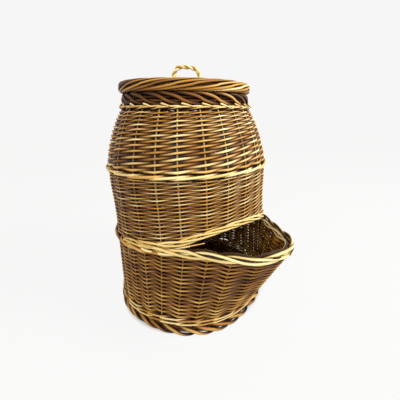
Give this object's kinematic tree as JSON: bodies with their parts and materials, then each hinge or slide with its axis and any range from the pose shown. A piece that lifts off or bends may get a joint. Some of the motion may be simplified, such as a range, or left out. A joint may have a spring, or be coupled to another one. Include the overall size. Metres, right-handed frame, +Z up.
{
  "type": "onion storage basket",
  "caption": "Round woven willow storage basket with a domed shoulder, a lift-off lid with a loop handle, and a scoop-shaped mouth low in front.",
  "frame": {"origin": "middle of the foot ring's flat underside, on the floor", "axes": "+Z up along the drum's axis, -Y out of the scoop's mouth"},
  "size_m": [0.382, 0.5029, 0.5725],
  "materials": {
    "willow_weave": "satin peeled willow",
    "willow_wale": "satin peeled willow",
    "willow_stake": "satin peeled willow",
    "willow_border": "satin peeled willow",
    "willow_pale": "satin peeled willow"
  },
  "bodies": {
    "basket": {"lower_weave": "willow_weave", "middle_weave": "willow_weave", "dome_weave": "willow_weave", "base_weave": "willow_weave", "upsett_wale": "willow_wale", "upsett_wale_inner": "willow_wale", "waist_wale": "willow_wale", "waist_wale_inner": "willow_wale", "shoulder_wale": "willow_wale", "shoulder_wale_inner": "willow_wale", "neck_wale": "willow_wale", "neck_wale_inner": "willow_wale", "lower_stakes": "willow_stake", "scoop_stakes": "willow_stake", "upper_stakes": "willow_stake", "hood_stakes": "willow_stake", "base_sticks": "willow_stake", "base_through_sticks": "willow_stake", "foot_core": "willow_border", "foot_border": "willow_border", "neck_core": "willow_border", "neck_border": "willow_border", "scoop_rim_outer": "willow_pale", "scoop_rim_inner": "willow_pale", "hood_border": "willow_pale"},
    "lid": {"handle_loop": "willow_pale", "handle_tails": "willow_pale", "lid_sticks": "willow_stake", "lid_through_sticks": "willow_stake", "lid_weave": "willow_weave", "lid_core": "willow_border", "lid_border": "willow_border"}
  },
  "joints": [
    {"name": "lid_lift", "type": "slide", "parent": "basket", "child": "lid", "axis": [0, 0, 1], "range_m": [0, 0.15]}
  ]
}
